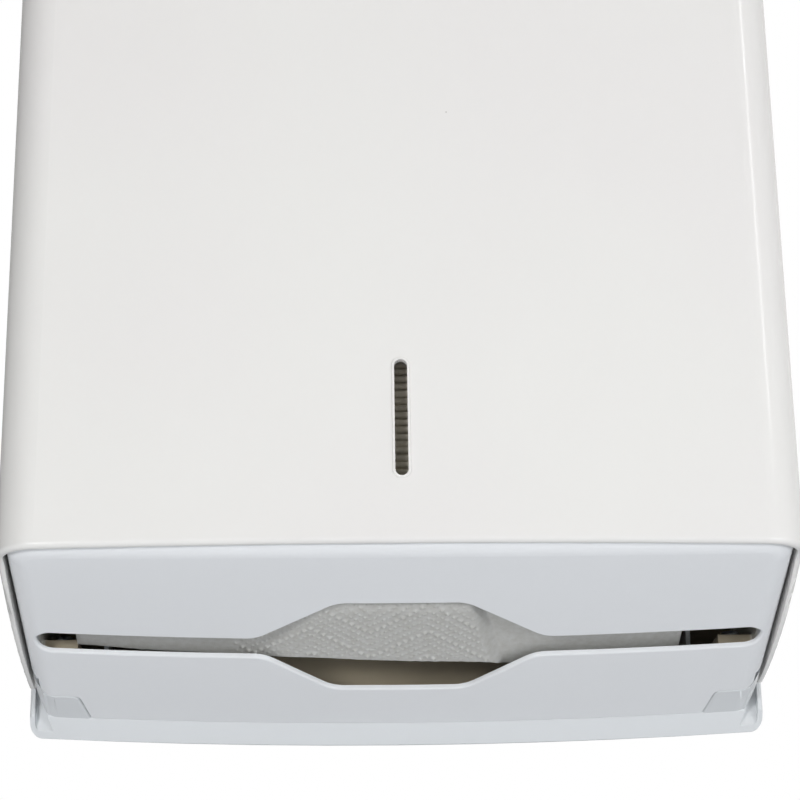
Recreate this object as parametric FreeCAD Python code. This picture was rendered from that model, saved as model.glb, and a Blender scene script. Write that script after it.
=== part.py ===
import FreeCAD, Part
import math
import os

# A wall dispenser for folded paper towels. Millimetres, +X to the viewer's right, +Y into the
# wall, +Z up. The wall is the plane y = 0 and the origin is the centre of the four wall screws.

# The closed housing
cover_width = 270.0
cover_depth = 117.0
body_height = 276.0
front_bow = 5.0
corner_radius = 15.0
top_edge_radius = 12.0
cover_wall = 2.2
rim_height = 41.5
rim_edge_radius = 1.8
side_edge_sag = 4.0
side_start_radius = 20.0

# The cover's hinge, low at the back
hinge_depth = 12.0
hinge_height = 21.0
hinge_corner_radius = 5.0
hinge_boss_inset = 0.3
hinge_boss_gap = 0.5
pin_radius = 2.0
pin_running_clearance = 0.05
pin_seat_clearance = 0.02
pin_end_cover = 1.2
pin_chamfer = 0.4
base_boss_radius = 6.5
base_boss_length = 10.4
open_angle = 80.0
stop_distance = 13.0
stop_radius = 2.0
stop_gap = 0.3
stop_overlap = 1.4

# The sight window and the ribs behind the front
window_width = 4.4
window_height = 40.7
window_foot = 22.5
window_bead_width = 0.9
window_bead_proud = 0.5
window_bead_edge = 0.3
front_rib_depth = 3.0
front_rib_thickness = 1.6
front_rib_start = 12.0
front_rib_place_shares = (-0.5, 0.5)

# The underside that the mouth panel and the base share
under_wall_height = 5.0
under_front_height = 45.4
under_sag = 0.75
under_crown = 4.0
surface_steps = 2

# The mouth panel
side_gap = 0.8
front_gap = 1.0
seam_gap = 0.5
panel_wall = 1.6
panel_flange_height = 9.0
panel_lap = 3.5
panel_edge_radius = 8.0
slot_end_margin = 8.5
slot_front_share = 0.5223
slot_width = 11.0
mouth_front_share = 0.7043
mouth_rear_share = 0.2556
mouth_front_half = 22.0
mouth_rear_half = 23.6
slot_front_half = 50.0
slot_rear_half = 47.6
mouth_curve_radius = 11.0
mouth_edge_radius = 0.9
support_rib_height = 3.7
support_rib_thickness = 1.6
support_rib_setback = 4.0
support_rib_mouth_gap = 8.0
support_rib_place_shares = (-0.78, -0.5, -0.2, 0.2, 0.5, 0.78)
rear_rib_reach = 28.0
rear_rib_place_shares = (-0.78, -0.5, 0.5, 0.78)
panel_boss_radius = 3.8
panel_boss_height = 6.0
panel_screw_inset = 16.0
panel_screw_rear_depth = 37.0
panel_screw_front_margin = 28.0

# The base, with its plate, raised edge, chin, hinge blocks and side arms
plate_thickness = 2.5
rim_gap = 0.8
rim_wall = 1.8
base_edge_radius = 1.0
ear_radius = 4.5
chin_height = 9.6
chin_wall = 2.2
chin_toe_depth = 1.5
chin_toe_crown = 5.1
chin_skin_rise = 3.6
chin_groove_end = 8.0
block_width = 22.5
block_flare = 3.2
block_reach = 20.8
block_outer_step = 6.4
block_outer_width = 4.2
block_lip = 5.0
block_corner_radius = 2.5
block_draft = 9.0
upstand_clearance = 1.2
upstand_wall = 2.0
upstand_depth = 12.5
upstand_foot = 48.0
arm_gap = 2.1
arm_wall = 2.4
arm_seat_gap = 2.6
arm_front_margin = 21.0
arm_rear_height = 72.0
arm_front_height = 51.0
arm_corner_radius = 7.0
foot_tab_half_width = 5.5
foot_tab_thickness = 3.0
foot_tab_inner_margin = 1.4
plate_rib_depth = 4.0
plate_rib_thickness = 1.8
plate_rib_margin = 18.0
plate_rib_place_shares = (-0.46, -0.22, 0.22, 0.46)

# The wall screws
wall_hole_radius = 2.75
wall_hole_spacing_x = 180.0
wall_hole_spacing_z = 120.0
wall_hole_centre_height = 140.0
wall_pad_radius = 9.0
wall_pad_height = 2.0

# The cam lock in the top of the cover and its keeper
lock_depth = 32.0
barrel_radius = 8.0
barrel_fit_clearance = 0.1
barrel_length = 17.5
barrel_flange_radius = 10.5
barrel_flange_height = 1.8
barrel_flange_edge = 0.6
plug_radius = 5.5
plug_clearance = 0.05
plug_head_radius = 6.6
plug_head_height = 1.6
plug_head_drop = 0.2
key_slot_width = 1.8
key_slot_length = 7.5
key_slot_depth = 9.0
spigot_width = 6.0
spigot_clearance = 0.05
cam_gap = 0.3
cam_thickness = 2.0
cam_width = 7.0
cam_length = 16.0
cam_hub_radius = 6.5
cam_screw_radius = 1.6
cam_screw_length = 8.0
nut_width = 20.0
nut_thickness = 3.0
washer_radius = 10.4
washer_thickness = 0.8
keeper_gap = 1.0
keeper_tip_gap = 1.5
keeper_wall = 2.5
keeper_height = 8.0
keeper_rise = 1.0

# The panel's screws
screw_radius = 1.7
screw_hole_clearance = 0.05
screw_tab_clearance = 0.25
screw_length = 8.5
screw_head_radius = 3.3
screw_head_height = 2.2
screw_recess_width = 1.0
screw_recess_depth = 1.0
screw_recess_share = 0.7

# The folded towels
towel_side_gap = 9.2
towel_front_gap = 0.9
towel_rear_gap = 0.6
towel_seat_gap = 0.3
towel_top_margin = 64.0
towel_level_height = 33.0
leaf_thickness = 0.8
leaf_edge_share = 0.333

# Overruns of cuts, welds and the smallest length that counts
overrun = 10.0
weld = 0.6
hair = 0.01
parallel_share = 0.999

# Places worked out from the sizes above
Vec = FreeCAD.Vector
along_x = Vec(1, 0, 0)
along_y = Vec(0, 1, 0)
along_z = Vec(0, 0, 1)
foot_z = -wall_hole_centre_height
half_width = cover_width / 2
front_y = -cover_depth
top_z = foot_z + body_height
rim_z = foot_z + rim_height
hinge_y = -hinge_depth
hinge_z = foot_z + hinge_height
cover_rear_y = hinge_y + hinge_corner_radius
rim_depth = -cover_rear_y - rim_gap
plate_y = -plate_thickness
panel_half = half_width - cover_wall - side_gap
panel_front_y = front_y + cover_wall + front_gap
panel_rear_y = -rim_depth - seam_gap
panel_top_z = rim_z + panel_lap
panel_screw_half_spacing = half_width - panel_screw_inset
panel_screw_front_depth = cover_depth - panel_screw_front_margin
slot_half_length = half_width - slot_end_margin
slot_front_depth = slot_front_share * cover_depth
mouth_front_depth = mouth_front_share * cover_depth
mouth_rear_depth = mouth_rear_share * cover_depth
block_inner_half = half_width - block_width
arm_reach = cover_depth - arm_front_margin
arm_outer = panel_half - panel_wall - arm_gap
arm_inner = arm_outer - arm_wall
boss_inner = arm_outer + hinge_boss_gap
pin_outer = half_width - pin_end_cover
pin_inner = arm_outer - base_boss_length
under_z = foot_z + under_wall_height
lock_y = -lock_depth
barrel_low_z = top_z - barrel_length
cam_high_z = barrel_low_z - cam_gap
cam_low_z = cam_high_z - cam_thickness
towel_rear_y = panel_rear_y - panel_wall - towel_rear_gap
towel_front_y = front_y + cover_wall + front_bow + towel_front_gap
towel_half = panel_screw_half_spacing - screw_head_radius - towel_side_gap
towel_top_z = top_z - towel_top_margin
towel_level_z = foot_z + towel_level_height
leaf_edge_depth = leaf_edge_share * cover_depth
towel_lift = panel_wall + support_rib_height + towel_seat_gap


def line(start, end):
    return Part.LineSegment(start, end).toShape()


def arc(start, middle, end):
    return Part.Arc(start, middle, end).toShape()


def polygon_face(points):
    return Part.Face(Part.makePolygon(points + [points[0]]))


def box(x_low, x_high, y_low, y_high, z_low, z_high):
    corner = Vec(x_low, y_low, z_low)
    return Part.makeBox(x_high - x_low, y_high - y_low, z_high - z_low, corner)


def rod_x(radius, x_low, x_high, y, z):
    return Part.makeCylinder(radius, x_high - x_low, Vec(x_low, y, z), along_x)


def rod_y(radius, x, z, y_low, y_high):
    return Part.makeCylinder(radius, y_high - y_low, Vec(x, y_low, z), along_y)


def rod_z(radius, x, y, z_low, z_high):
    return Part.makeCylinder(radius, z_high - z_low, Vec(x, y, z_low), along_z)


def runs_along(edge, direction):
    reach = edge.Vertexes[-1].Point - edge.Vertexes[0].Point
    return reach.Length > hair and abs(reach.normalize().dot(direction)) > parallel_share


def rounded(solid, radius, test):
    return solid.makeFillet(radius, [edge for edge in solid.Edges if test(edge)])


def mirrored(solid):
    return solid.mirror(Vec(0, 0, 0), along_x)


def both_sides(solid):
    return [solid, mirrored(solid)]


def joined(first, others):
    return first.fuse(others).removeSplitter()


# The bowed plan of the housing, from the wall side to the front
def bowed_block(half, rear_y, nose_y, z_low, z_high, radius):
    corner_y = nose_y + front_bow
    left_rear = Vec(-half, rear_y, z_low)
    left_front = Vec(-half, corner_y, z_low)
    right_front = Vec(half, corner_y, z_low)
    right_rear = Vec(half, rear_y, z_low)
    sides = [line(left_rear, left_front)]
    sides.append(arc(left_front, Vec(0, nose_y, z_low), right_front))
    sides.append(line(right_front, right_rear))
    sides.append(line(right_rear, left_rear))
    block = Part.Face(Part.Wire(sides)).extrude(Vec(0, 0, z_high - z_low))
    middle_y = (rear_y + nose_y) / 2
    return rounded(block, radius, lambda edge: runs_along(edge, along_z)
                   and edge.CenterOfMass.y < middle_y)


# How far the bowed front lies behind its nose at a distance from the middle
def bow_at(x):
    bow_radius = (half_width ** 2 + front_bow ** 2) / (2 * front_bow)
    return bow_radius - math.sqrt(bow_radius ** 2 - x ** 2)


# Height of the underside, which slopes up to the front and is lowest along the middle
def under_height(x, y):
    forward = -y / cover_depth
    rise = (under_front_height - under_wall_height) * forward
    sag = 4 * under_sag * forward * (1 - forward)
    crown = under_crown * (1 - (x / half_width) ** 2)
    return under_z + rise - sag - crown


# Height of the chin's slanted face, which runs from its toe at the wall up to the underside
def chin_face_height(x, y):
    toe_z = foot_z - under_crown + chin_toe_crown * (x / half_width) ** 2
    rise = under_height(x, -rim_depth) - toe_z
    return toe_z + rise * (-y - chin_toe_depth) / (rim_depth - chin_toe_depth)


# A thick layer over a curved surface, from one lift above it to another
def layer_over(height_at, lift, height):
    reach = half_width + overrun
    rows = []
    for row in range(surface_steps + 1):
        y = overrun - (cover_depth + 2 * overrun) * row / surface_steps
        points = []
        for column in range(surface_steps + 1):
            x = reach * (2 * column / surface_steps - 1)
            points.append(Vec(x, y, height_at(x, y) + lift))
        rows.append(points)
    surface = Part.BSplineSurface()
    surface.interpolate(rows)
    return surface.toShape().extrude(Vec(0, 0, height))


def under_layer(lift, height):
    return layer_over(under_height, lift, height)


# Front cover
def cover_shell(inset, rear_y, z_low):
    block = bowed_block(half_width - inset, rear_y, front_y + inset, z_low, top_z - inset,
                        corner_radius - inset)
    high = top_z - inset - hair
    return rounded(block, top_edge_radius - inset, lambda edge: edge.CenterOfMass.z > high
                   and edge.CenterOfMass.y < rear_y - hair)


def below_cover():
    start_y = front_y + front_bow + corner_radius
    side_z = hinge_z - hinge_corner_radius
    low_z = foot_z - under_crown - overrun
    x = -half_width - overrun
    bend_share = math.sqrt(0.5)
    bend = hinge_corner_radius * bend_share
    start = Vec(x, start_y, rim_z)
    rear = Vec(x, hinge_y, side_z)
    middle = Vec(x, (start_y + hinge_y) / 2, (rim_z + side_z) / 2 - side_edge_sag)
    behind = Vec(x, cover_rear_y, hinge_z)
    sides = [line(Vec(x, front_y - overrun, rim_z), start)]
    sides.append(arc(start, middle, rear))
    sides.append(arc(rear, Vec(x, hinge_y + bend, hinge_z - bend), behind))
    sides.append(line(behind, Vec(x, overrun, hinge_z)))
    sides.append(line(Vec(x, overrun, hinge_z), Vec(x, overrun, low_z)))
    sides.append(line(Vec(x, overrun, low_z), Vec(x, front_y - overrun, low_z)))
    sides.append(line(Vec(x, front_y - overrun, low_z), Vec(x, front_y - overrun, rim_z)))
    cut = Part.Face(Part.Wire(sides)).extrude(Vec(cover_width + 2 * overrun, 0, 0))
    return rounded(cut, side_start_radius, lambda edge: runs_along(edge, along_x)
                   and abs(edge.CenterOfMass.y - start_y) < hair)


# The window, or its bead when it has a margin: a tall slot with fully round ends
def window_block(margin, y_low, y_high):
    half = window_width / 2 + margin
    z_low = rim_z + window_foot + window_width / 2
    z_high = z_low + window_height - window_width
    middle = box(-half, half, y_low, y_high, z_low, z_high)
    return joined(middle, [rod_y(half, 0, z, y_low, y_high) for z in (z_low, z_high)])


def window_bead():
    face_y = front_y - window_bead_proud
    bead = window_block(window_bead_width, face_y, front_y + cover_wall)
    return rounded(bead, window_bead_edge, lambda edge: edge.BoundBox.YMax < face_y + hair)


def cover_hinge_side():
    inner_face = half_width - cover_wall
    boss = rod_x(hinge_corner_radius - hinge_boss_inset, boss_inner, inner_face + weld,
                 hinge_y, hinge_z)
    lug = rod_x(stop_radius, arm_outer + stop_overlap, inner_face + weld,
                hinge_y, hinge_z + stop_distance)
    return boss.fuse(lug)


def front_ribs():
    ribs = []
    for share in front_rib_place_shares:
        x = share * half_width
        skin_y = front_y + cover_wall + bow_at(abs(x))
        half = front_rib_thickness / 2
        z_low = rim_z + front_rib_start
        ribs.append(box(x - half, x + half, skin_y - weld, skin_y + front_rib_depth,
                        z_low, top_z - cover_wall - hair))
    return ribs


def make_front_cover():
    outer = cover_shell(0, cover_rear_y, foot_z).cut(below_cover())
    outer = rounded(outer, rim_edge_radius, on_lower_outer_edge)
    inner = cover_shell(cover_wall, cover_rear_y + overrun, foot_z - overrun)
    ribs = [rib.common(inner.fuse(outer)) for rib in front_ribs()]
    shell = outer.cut(inner)
    shell = shell.fuse([window_bead()] + ribs + both_sides(cover_hinge_side()))
    bore = rod_x(pin_radius + pin_running_clearance, boss_inner - overrun, pin_outer,
                 hinge_y, hinge_z)
    holes = both_sides(bore)
    holes.append(window_block(0, front_y - overrun, front_y + 2 * cover_wall))
    holes.append(rod_z(barrel_radius + barrel_fit_clearance, 0, lock_y,
                       top_z - overrun, top_z + overrun))
    return shell.cut(holes).removeSplitter()


# The outer lower edges of the cover, along the front and both sides as far as the hinge
def on_lower_outer_edge(edge):
    centre = edge.CenterOfMass
    low = centre.z < rim_z + hair and not runs_along(edge, along_x)
    outside = edge.BoundBox.XLength > hair or abs(centre.x) > half_width - hair
    ahead = centre.y < hinge_y - hair
    flat = not runs_along(edge, along_z)
    return low and outside and ahead and flat


# The mouth: a narrow slot that opens to a wide hand gap in the middle
def mouth_points(z):
    slot_rear_depth = slot_front_depth - slot_width
    slot_end = slot_half_length - slot_width / 2
    half_front = [Vec(slot_end, -slot_front_depth, z)]
    half_front.append(Vec(slot_front_half, -slot_front_depth, z))
    half_front.append(Vec(mouth_front_half, -mouth_front_depth, z))
    half_rear = [Vec(mouth_rear_half, -mouth_rear_depth, z)]
    half_rear.append(Vec(slot_rear_half, -slot_rear_depth, z))
    half_rear.append(Vec(slot_end, -slot_rear_depth, z))
    flip = [Vec(-point.x, point.y, z) for point in half_front[::-1]]
    flip_rear = [Vec(-point.x, point.y, z) for point in half_rear[::-1]]
    return half_front + flip, half_rear, flip_rear


def mouth_prism(z_low, z_high):
    front, rear, rear_left = mouth_points(z_low)
    points = front + rear_left + rear
    middle_y = -slot_front_depth + slot_width / 2
    prism = polygon_face(points).extrude(Vec(0, 0, z_high - z_low))
    prism = rounded(prism, mouth_curve_radius, lambda edge: runs_along(edge, along_z)
                    and abs(edge.CenterOfMass.x) < slot_half_length - slot_width)
    end = slot_half_length - slot_width / 2
    tips = [rod_z(slot_width / 2, side * end, middle_y, z_low, z_high) for side in (-1, 1)]
    return joined(prism, tips)


def grown_mouth(grow, z_low, z_high):
    prism = mouth_prism(z_low, z_high)
    floor = min(prism.Faces, key=lambda face: face.CenterOfMass.z)
    outline = floor.OuterWire.makeOffset2D(grow)
    return Part.Face(outline).extrude(Vec(0, 0, z_high - z_low))


# The plan of a hinge block at the right rear corner, and the notch round it in the panel
def block_prism(grow, z_low, z_high):
    outer = panel_half + (overrun if grow > 0 else 0)
    inner = block_inner_half - grow
    reach = block_reach + grow
    step_x = panel_half - block_outer_width
    points = [Vec(inner, 0, z_low), Vec(inner, -rim_depth, z_low)]
    points.append(Vec(inner + block_flare, -reach, z_low))
    points.append(Vec(step_x, -reach, z_low))
    points.append(Vec(panel_half, -reach - block_outer_step, z_low))
    if grow > 0:
        points.append(Vec(outer, -reach - block_outer_step, z_low))
    points.append(Vec(outer, 0, z_low))
    prism = polygon_face(points).extrude(Vec(0, 0, z_high - z_low))
    return rounded(prism, block_corner_radius, lambda edge: runs_along(edge, along_z)
                   and abs(edge.CenterOfMass.y + reach) < hair)


def panel_block(inset, lift, rear_y):
    plan = bowed_block(panel_half - inset, rear_y, panel_front_y + inset,
                       foot_z - under_crown - overrun, top_z,
                       corner_radius - cover_wall - front_gap - inset)
    return under_layer(lift, 2 * panel_flange_height).common(plan)


# Rounded while the walls are tall and the corners whole, and only then cut to height and notched
def panel_shell():
    outer = rounded(panel_block(0, 0, panel_rear_y), panel_edge_radius, on_panel_outer_edge)
    inner = panel_block(panel_wall, panel_wall, panel_rear_y - panel_wall)
    inner = rounded(inner, panel_edge_radius - panel_wall, on_panel_inner_edge)
    low_z = foot_z - under_crown - overrun
    room = box(-half_width, half_width, front_y, 0, low_z, panel_top_z)
    outer = under_layer(-weld, panel_flange_height + weld).common(room).common(outer)
    inner = inner.cut(both_sides(block_prism(seam_gap + panel_wall, low_z, top_z)))
    return outer.cut(both_sides(block_prism(seam_gap, low_z, top_z)) + [inner])


def lift_of(point):
    return point.z - under_height(point.x, point.y)


def on_underside(edge, lift=0):
    return all(abs(lift_of(vertex.Point) - lift) < hair for vertex in edge.Vertexes)


# Edges where the panel's outside turns from the underside up to the front and side walls
def on_panel_outer_edge(edge):
    return on_underside(edge) and edge.CenterOfMass.y < panel_rear_y - hair


def on_panel_inner_edge(edge):
    ahead = edge.CenterOfMass.y < panel_rear_y - panel_wall - hair
    return on_underside(edge, panel_wall) and ahead


# The slot's ends run into the panel's rounded sides, so the edges there lie above the underside
def on_mouth_edge(edge):
    centre = edge.CenterOfMass
    low = all(lift_of(vertex.Point) < panel_wall / 2 for vertex in edge.Vertexes)
    within_depth = -mouth_front_depth - hair < centre.y < -mouth_rear_depth + hair
    return low and within_depth and abs(centre.x) < slot_half_length + hair


def screw_places():
    for depth in (panel_screw_rear_depth, panel_screw_front_depth):
        yield panel_screw_half_spacing, -depth


def screw_seat_z(x, y):
    return under_height(x, y) + panel_wall + panel_boss_height


def support_ribs():
    ribs = []
    for share in support_rib_place_shares:
        x = share * half_width
        half = support_rib_thickness / 2
        front = panel_front_y + panel_wall + support_rib_setback
        rear = panel_rear_y - panel_wall - support_rib_setback
        ribs.append(box(x - half, x + half, front, rear, foot_z - overrun, top_z))
    layer = under_layer(panel_wall - weld, support_rib_height + weld)
    mouth = grown_mouth(support_rib_mouth_gap, foot_z - overrun, top_z)
    return [rib.common(layer).cut(mouth) for rib in ribs]


# Taller ribs at the rear, on which the stack lies level behind the mouth
def rear_ribs():
    ribs = []
    for share in rear_rib_place_shares:
        x = share * half_width
        half = support_rib_thickness / 2
        ribs.append(box(x - half, x + half, -rear_rib_reach, panel_rear_y - panel_wall + weld,
                        foot_z - overrun, towel_level_z - towel_seat_gap))
    layer = under_layer(panel_wall - weld, cover_depth)
    return [rib.common(layer) for rib in ribs]


# The way that the base's arm, its stop and the cover's lug take over the panel's rear corner
def arm_way():
    front = -(block_reach + seam_gap + panel_wall + block_outer_step)
    way = box(arm_inner - side_gap, half_width, front, 0, foot_z - overrun, top_z)
    return under_layer(panel_wall, cover_depth).common(way)


def make_mouth_panel():
    low_z = foot_z - under_crown - overrun
    above_floor = under_layer(panel_wall - weld, 2 * panel_flange_height)
    bosses = []
    for x, y in screw_places():
        boss = rod_z(panel_boss_radius, x, y, low_z, screw_seat_z(x, y))
        bosses += both_sides(boss.common(above_floor))
    panel = panel_shell().fuse(bosses + support_ribs() + rear_ribs())
    cuts = [mouth_prism(low_z, panel_top_z + overrun)] + both_sides(arm_way())
    for x, y in screw_places():
        seat_z = screw_seat_z(x, y)
        hole = rod_z(screw_radius + screw_hole_clearance, x, y,
                     under_height(x, y) + panel_wall, seat_z + overrun)
        cuts += both_sides(hole)
    return rounded(panel.cut(cuts).removeSplitter(), mouth_edge_radius, on_mouth_edge)


# The plate's outline: square shouldered, with a gently crowned foot
def plate_prism(inset, y_low, y_high):
    half = half_width - inset
    low_z = foot_z + inset
    high_z = top_z - inset
    left_foot = Vec(-half, y_low, low_z)
    right_foot = Vec(half, y_low, low_z)
    sides = [arc(left_foot, Vec(0, y_low, low_z - under_crown), right_foot)]
    sides.append(line(right_foot, Vec(half, y_low, high_z)))
    sides.append(line(Vec(half, y_low, high_z), Vec(-half, y_low, high_z)))
    sides.append(line(Vec(-half, y_low, high_z), left_foot))
    prism = Part.Face(Part.Wire(sides)).extrude(Vec(0, y_high - y_low, 0))
    prism = rounded(prism, max(top_edge_radius - inset, hair), lambda edge:
                    runs_along(edge, along_y) and edge.CenterOfMass.z > high_z - hair)
    return rounded(prism, max(ear_radius - inset, 20 * hair), lambda edge:
                   runs_along(edge, along_y) and edge.CenterOfMass.z < low_z + hair)


def chin_band(rise_low, rise_high, half, y_low, y_high):
    crown_here = under_crown * (half / half_width) ** 2
    end_z = foot_z - under_crown + crown_here
    ends = [Vec(-half, y_low, end_z + rise_low), Vec(half, y_low, end_z + rise_low)]
    tops = [Vec(half, y_low, end_z + rise_high), Vec(-half, y_low, end_z + rise_high)]
    middle_z = foot_z - under_crown
    sides = [arc(ends[0], Vec(0, y_low, middle_z + rise_low), ends[1])]
    sides.append(line(ends[1], tops[0]))
    sides.append(arc(tops[0], Vec(0, y_low, middle_z + rise_high), tops[1]))
    sides.append(line(tops[1], ends[0]))
    return Part.Face(Part.Wire(sides)).extrude(Vec(0, y_high - y_low, 0))


# What the leaning outer side of a hinge block leaves free beside the ear
def ear_recess():
    lean_x = half_width - block_draft
    side_z = hinge_z - hinge_corner_radius
    lean_share = (panel_half - lean_x) / (side_z - foot_z)
    low_z = foot_z - under_crown - overrun
    low_x = lean_x - lean_share * (foot_z - low_z)
    outer = half_width + overrun
    y = plate_y
    points = [Vec(low_x, y, low_z), Vec(panel_half, y, side_z)]
    points += [Vec(outer, y, side_z), Vec(outer, y, low_z)]
    return polygon_face(points).extrude(Vec(0, -cover_depth, 0))


def hinge_block():
    low_z = foot_z - overrun
    plan = block_prism(0, low_z, hinge_z)
    body = under_layer(0, block_lip).common(plan)
    body = rounded(body, base_edge_radius, on_block_edge)
    rounding = rounded(panel_block(0, 0, overrun), panel_edge_radius, on_panel_outer_edge)
    body = body.common(rounding)
    pocket = under_layer(chin_wall, block_lip).common(block_pocket(low_z))
    return body.cut(pocket).cut(ear_recess())


# The lower edges of a hinge block that face the panel, whose rounded side runs on over the block
def on_block_edge(edge):
    centre = edge.CenterOfMass
    return on_underside(edge) and centre.y < -rim_depth and centre.x < panel_half - hair


def block_pocket(low_z):
    inner = block_inner_half + chin_wall
    outer = panel_half - panel_edge_radius
    front = -block_reach + chin_wall
    points = [Vec(inner, -rim_depth, low_z), Vec(inner + block_flare, front, low_z)]
    points += [Vec(outer, front, low_z), Vec(outer, -rim_depth, low_z)]
    return polygon_face(points).extrude(Vec(0, 0, hinge_z - low_z))


def side_arm():
    low_z = foot_z
    rear_z = foot_z + arm_rear_height
    front_z = foot_z + arm_front_height
    points = [Vec(arm_inner, plate_y + weld, low_z), Vec(arm_inner, -arm_reach, low_z)]
    points += [Vec(arm_inner, -arm_reach, front_z), Vec(arm_inner, plate_y + weld, rear_z)]
    arm = polygon_face(points).extrude(Vec(arm_wall, 0, 0))
    arm = rounded(arm, arm_corner_radius, lambda edge: runs_along(edge, along_x)
                  and edge.CenterOfMass.y < -arm_reach + hair and edge.CenterOfMass.z > low_z + hair)
    beyond = box(0, half_width, -cover_depth, -block_reach, foot_z - overrun, top_z)
    seat_lift = panel_wall + arm_seat_gap
    below = under_layer(-cover_depth, cover_depth + seat_lift)
    arm = arm.cut(below.common(beyond))
    within = box(0, half_width, -block_reach - weld, 0, foot_z - overrun, top_z)
    under_block = under_layer(-cover_depth, cover_depth + weld)
    return arm.cut(under_block.common(within))


def stop_stub():
    contact = 2 * math.asin(stop_radius / stop_distance) + stop_gap / stop_distance
    turn = math.radians(open_angle) + contact
    y = hinge_y - stop_distance * math.sin(turn)
    z = hinge_z + stop_distance * math.cos(turn)
    reach = half_width - cover_wall - 2 * stop_overlap + hinge_boss_gap
    return rod_x(stop_radius, arm_inner + hair, reach, y, z)


def foot_tab(x, y):
    seat_z = screw_seat_z(x, y)
    inner = x - panel_boss_radius - foot_tab_inner_margin
    tab = box(inner, arm_outer - hair, y - foot_tab_half_width, y + foot_tab_half_width,
              seat_z, seat_z + foot_tab_thickness)
    hole = rod_z(screw_radius + screw_tab_clearance, x, y, seat_z - overrun, seat_z + overrun)
    return tab.cut(hole)


def base_side():
    boss = rod_x(base_boss_radius, pin_inner, arm_outer - hair, hinge_y, hinge_z)
    pieces = [side_arm(), boss, stop_stub(), hinge_block()]
    pieces += [foot_tab(x, y) for x, y in screw_places()]
    return pieces


def upstand():
    inset = cover_wall + upstand_clearance
    high_y = plate_y + weld
    outer = plate_prism(inset, plate_y - upstand_depth, high_y)
    inner = plate_prism(inset + upstand_wall, plate_y - upstand_depth - overrun, high_y + overrun)
    lock_way = keeper_tip_gap + cam_length + keeper_wall + keeper_gap
    removed = [inner, box(-half_width, half_width, -cover_depth, overrun,
                          foot_z - under_crown - overrun, foot_z + upstand_foot)]
    removed.append(box(-lock_way, lock_way, -cover_depth, plate_y,
                       top_z - body_height / 2, top_z))
    return outer.cut(removed)


# The hook behind which the turned cam catches
def keeper():
    arm_x = cam_length + keeper_tip_gap
    lip_y = lock_y - cam_width / 2 - keeper_gap
    z_high = barrel_low_z - keeper_rise
    z_low = z_high - keeper_height
    arm = box(arm_x, arm_x + keeper_wall, lip_y - keeper_wall, plate_y + weld, z_low, z_high)
    lip = box(barrel_radius + keeper_gap, arm_x + keeper_wall, lip_y - keeper_wall, lip_y,
              z_low, z_high)
    x = arm_x
    drop = z_low - keeper_height * 2
    points = [Vec(x, plate_y + weld, z_low + weld), Vec(x, lip_y, z_low + weld)]
    points.append(Vec(x, plate_y + weld, drop))
    gusset = polygon_face(points).extrude(Vec(keeper_wall, 0, 0))
    return [arm, lip, gusset]


def wall_hole_places():
    for x in (-wall_hole_spacing_x / 2, wall_hole_spacing_x / 2):
        for z in (-wall_hole_spacing_z / 2, wall_hole_spacing_z / 2):
            yield x, z


def plate_ribs():
    ribs = []
    for share in plate_rib_place_shares:
        x = share * half_width
        half = plate_rib_thickness / 2
        ribs.append(box(x - half, x + half, plate_y - plate_rib_depth, plate_y + weld,
                        foot_z + hinge_height + plate_rib_margin, top_z - plate_rib_margin))
    return ribs


# The plate with its raised edge and its chin, whose face slants down to the wall
def tray():
    below = layer_over(chin_face_height, -cover_depth, cover_depth)
    block = plate_prism(0, -rim_depth, 0).cut(below)
    block = rounded(block, base_edge_radius, lambda edge: edge.BoundBox.YMax < -rim_depth + hair)
    chin = chin_band(0, chin_height, half_width, -rim_depth - 2 * overrun, overrun)
    cavity = plate_prism(rim_wall, -rim_depth - overrun, plate_y)
    return block.cut(cavity.cut(chin.cut(both_sides(ear_recess()))))


def make_back_plate():
    pieces = [upstand()]
    for piece in base_side():
        pieces += both_sides(piece)
    pieces += keeper() + plate_ribs()
    for x, z in wall_hole_places():
        pieces.append(rod_y(wall_pad_radius, x, z, plate_y - wall_pad_height, plate_y + weld))
    base = tray().fuse(pieces)
    groove_half = block_inner_half - chin_groove_end
    groove = chin_band(chin_wall, chin_height - chin_wall, groove_half,
                       -rim_depth + chin_wall, overrun)
    cuts = [groove.common(layer_over(chin_face_height, chin_skin_rise, cover_depth))]
    bore = rod_x(pin_radius + pin_seat_clearance, pin_inner - hair, arm_outer + overrun,
                 hinge_y, hinge_z)
    cuts += both_sides(bore)
    for x, z in wall_hole_places():
        cuts.append(rod_y(wall_hole_radius, x, z, -overrun, overrun))
    return base.cut(cuts).removeSplitter()


def make_hinge_pin():
    pin = rod_x(pin_radius, pin_inner, pin_outer - pin_running_clearance, hinge_y, hinge_z)
    ends = [edge for edge in pin.Edges if not runs_along(edge, along_x)]
    return pin.makeChamfer(pin_chamfer, ends)


# The lock
def make_lock_barrel():
    flange = rod_z(barrel_flange_radius, 0, lock_y, top_z, top_z + barrel_flange_height)
    flange = rounded(flange, barrel_flange_edge, lambda edge:
                     edge.CenterOfMass.z > top_z + barrel_flange_height - hair)
    body = rod_z(barrel_radius, 0, lock_y, barrel_low_z, top_z + hair)
    barrel = body.fuse(flange)
    head_z = top_z + barrel_flange_height - plug_head_drop - plug_head_height
    cuts = [rod_z(plug_radius + plug_clearance, 0, lock_y, barrel_low_z - overrun, top_z + overrun)]
    cuts.append(rod_z(plug_head_radius + plug_clearance, 0, lock_y, head_z, top_z + overrun))
    return barrel.cut(cuts).removeSplitter()


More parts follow.
